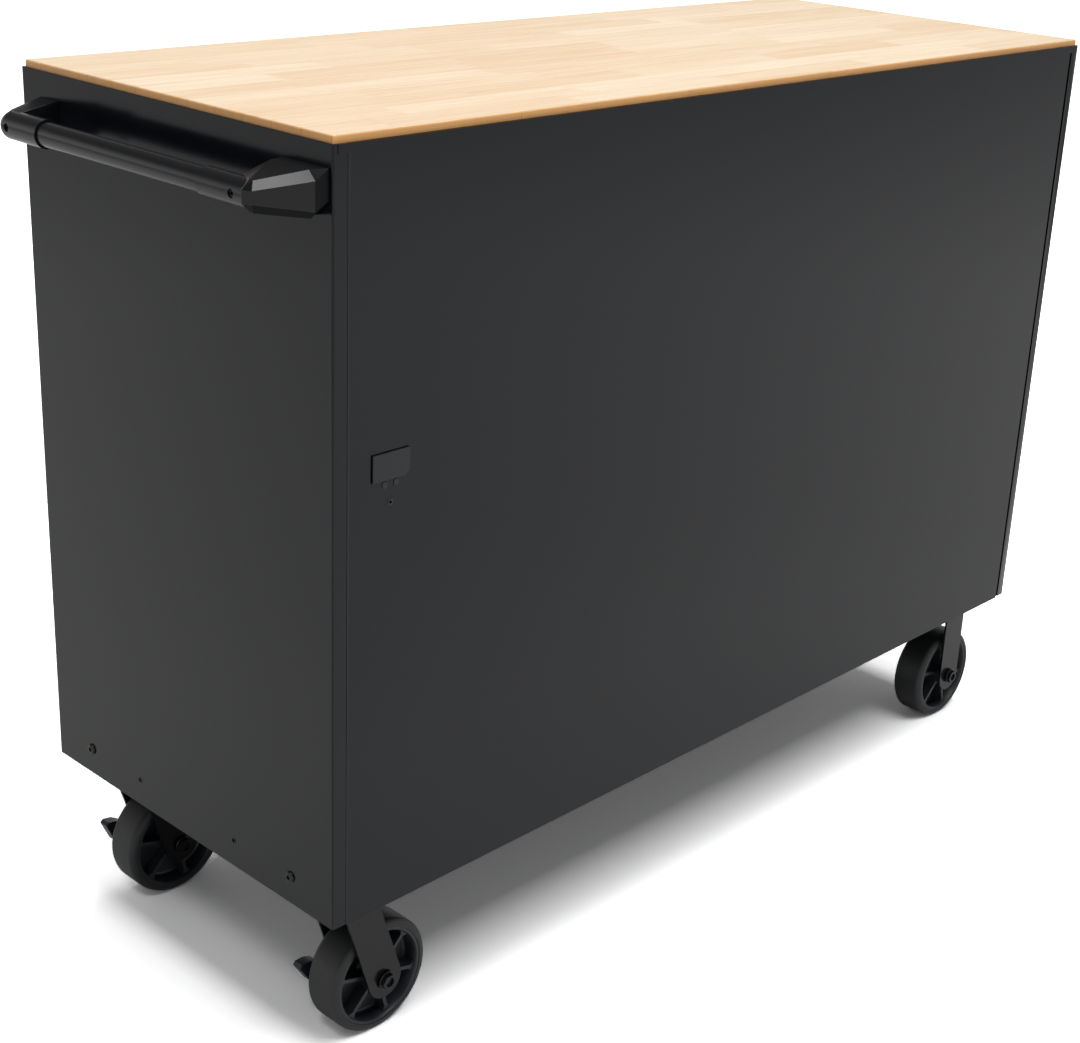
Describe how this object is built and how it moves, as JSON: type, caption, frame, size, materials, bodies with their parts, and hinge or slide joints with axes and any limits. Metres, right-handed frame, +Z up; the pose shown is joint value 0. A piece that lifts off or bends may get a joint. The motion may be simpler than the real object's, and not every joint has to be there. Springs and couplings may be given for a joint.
{
  "type": "tool cart",
  "caption": "Steel tool cart with a wooden worktop, drawers at the front, a push bar at one end, and swivel and fixed casters with brake pedals.",
  "frame": {"origin": "on the floor, below the centre of the whole cart's box", "axes": "+X to the push bar end, +Y to the rear panel, -Y to the drawer fronts, +Z up"},
  "size_m": [1.2778, 0.4974, 0.9525],
  "materials": {
    "case_paint": "semi-gloss black powder coat",
    "fitting_paint": "satin black powder coat",
    "zinc_steel": "zinc plated steel",
    "worktop_wood": "lacquered finger-jointed boards",
    "tread_rubber": "smooth black tread",
    "hub_plastic": "moulded black",
    "lock_chrome": "bright chrome"
  },
  "bodies": {
    "cabinet": {"bar_bracket_front": "fitting_paint", "bar_bracket_rear": "fitting_paint", "bottom_pan": "case_paint", "caster_channel_bar_end": "case_paint", "caster_channel_far_end": "case_paint", "centre_divider": "case_paint", "push_bar": "fitting_paint", "rear_cover_plate": "case_paint", "rear_panel": "case_paint", "rigid_caster_front_axle": "zinc_steel", "rigid_caster_front_fork": "fitting_paint", "rigid_caster_rear_axle": "zinc_steel", "rigid_caster_rear_fork": "fitting_paint", "side_panel_bar_end": "case_paint", "side_panel_far_end": "case_paint", "slides_bar_end_inner": "zinc_steel", "slides_bar_end_outer": "zinc_steel", "slides_far_end_inner": "zinc_steel", "slides_far_end_outer": "zinc_steel", "swivel_caster_front_base": "fitting_paint", "swivel_caster_rear_base": "fitting_paint", "top_front_rail": "case_paint", "top_tray": "case_paint", "worktop": "worktop_wood"},
    "deep_drawer_1": {"deep_drawer_1_front": "case_paint", "deep_drawer_1_tray": "case_paint"},
    "deep_drawer_2": {"deep_drawer_2_front": "case_paint", "deep_drawer_2_tray": "case_paint"},
    "deep_drawer_3": {"deep_drawer_3_front": "case_paint", "deep_drawer_3_tray": "case_paint"},
    "lock": {"lock_plug": "lock_chrome"},
    "rigid_caster_front_wheel": {"rigid_caster_front_wheel_hub": "hub_plastic", "rigid_caster_front_wheel_tyre": "tread_rubber"},
    "rigid_caster_rear_wheel": {"rigid_caster_rear_wheel_hub": "hub_plastic", "rigid_caster_rear_wheel_tyre": "tread_rubber"},
    "shallow_drawer_1": {"shallow_drawer_1_front": "case_paint", "shallow_drawer_1_tray": "case_paint"},
    "shallow_drawer_2": {"shallow_drawer_2_front": "case_paint", "shallow_drawer_2_tray": "case_paint"},
    "shallow_drawer_3": {"shallow_drawer_3_front": "case_paint", "shallow_drawer_3_tray": "case_paint"},
    "shallow_drawer_4": {"shallow_drawer_4_front": "case_paint", "shallow_drawer_4_tray": "case_paint"},
    "shallow_drawer_5": {"shallow_drawer_5_front": "case_paint", "shallow_drawer_5_tray": "case_paint"},
    "swivel_caster_front_fork": {"swivel_caster_front_axle": "zinc_steel", "swivel_caster_front_fork": "fitting_paint"},
    "swivel_caster_front_pedal": {"swivel_caster_front_pedal_lever": "hub_plastic"},
    "swivel_caster_front_wheel": {"swivel_caster_front_wheel_hub": "hub_plastic", "swivel_caster_front_wheel_tyre": "tread_rubber"},
    "swivel_caster_rear_fork": {"swivel_caster_rear_axle": "zinc_steel", "swivel_caster_rear_fork": "fitting_paint"},
    "swivel_caster_rear_pedal": {"swivel_caster_rear_pedal_lever": "hub_plastic"},
    "swivel_caster_rear_wheel": {"swivel_caster_rear_wheel_hub": "hub_plastic", "swivel_caster_rear_wheel_tyre": "tread_rubber"}
  },
  "joints": [
    {"name": "lock_turn", "type": "hinge", "parent": "cabinet", "child": "lock", "pos_m": [-0.02895, -0.2294, 0.9109], "axis": [0, 1, 0], "range_deg": [0, 90]},
    {"name": "deep_drawer_1_slide", "type": "slide", "parent": "cabinet", "child": "deep_drawer_1", "axis": [0, -1, 0], "range_m": [0, 0.33]},
    {"name": "deep_drawer_2_slide", "type": "slide", "parent": "cabinet", "child": "deep_drawer_2", "axis": [0, -1, 0], "range_m": [0, 0.33]},
    {"name": "deep_drawer_3_slide", "type": "slide", "parent": "cabinet", "child": "deep_drawer_3", "axis": [0, -1, 0], "range_m": [0, 0.33]},
    {"name": "shallow_drawer_1_slide", "type": "slide", "parent": "cabinet", "child": "shallow_drawer_1", "axis": [0, -1, 0], "range_m": [0, 0.33]},
    {"name": "shallow_drawer_2_slide", "type": "slide", "parent": "cabinet", "child": "shallow_drawer_2", "axis": [0, -1, 0], "range_m": [0, 0.33]},
    {"name": "shallow_drawer_3_slide", "type": "slide", "parent": "cabinet", "child": "shallow_drawer_3", "axis": [0, -1, 0], "range_m": [0, 0.33]},
    {"name": "shallow_drawer_4_slide", "type": "slide", "parent": "cabinet", "child": "shallow_drawer_4", "axis": [0, -1, 0], "range_m": [0, 0.33]},
    {"name": "shallow_drawer_5_slide", "type": "slide", "parent": "cabinet", "child": "shallow_drawer_5", "axis": [0, -1, 0], "range_m": [0, 0.33]},
    {"name": "swivel_caster_rear_swivel", "type": "hinge", "parent": "cabinet", "child": "swivel_caster_rear_fork", "pos_m": [0.51705, 0.1848, 0], "axis": [0, 0, 1], "continuous": true},
    {"name": "swivel_caster_rear_roll", "type": "hinge", "parent": "swivel_caster_rear_fork", "child": "swivel_caster_rear_wheel", "pos_m": [0.48505, 0.1848, 0.0635], "axis": [0, 1, 0], "continuous": true},
    {"name": "swivel_caster_rear_brake", "type": "hinge", "parent": "swivel_caster_rear_fork", "child": "swivel_caster_rear_pedal", "pos_m": [0.48505, 0.1848, 0.0635], "axis": [0, 1, 0], "range_deg": [0, 20]},
    {"name": "rigid_caster_rear_roll", "type": "hinge", "parent": "cabinet", "child": "rigid_caster_rear_wheel", "pos_m": [-0.57295, 0.1848, 0.0635], "axis": [0, 1, 0], "continuous": true},
    {"name": "swivel_caster_front_swivel", "type": "hinge", "parent": "cabinet", "child": "swivel_caster_front_fork", "pos_m": [0.51705, -0.1702, 0], "axis": [0, 0, 1], "continuous": true},
    {"name": "swivel_caster_front_roll", "type": "hinge", "parent": "swivel_caster_front_fork", "child": "swivel_caster_front_wheel", "pos_m": [0.48505, -0.1702, 0.0635], "axis": [0, 1, 0], "continuous": true},
    {"name": "swivel_caster_front_brake", "type": "hinge", "parent": "swivel_caster_front_fork", "child": "swivel_caster_front_pedal", "pos_m": [0.48505, -0.1702, 0.0635], "axis": [0, 1, 0], "range_deg": [0, 28]},
    {"name": "rigid_caster_front_roll", "type": "hinge", "parent": "cabinet", "child": "rigid_caster_front_wheel", "pos_m": [-0.57295, -0.1702, 0.0635], "axis": [0, 1, 0], "continuous": true}
  ]
}
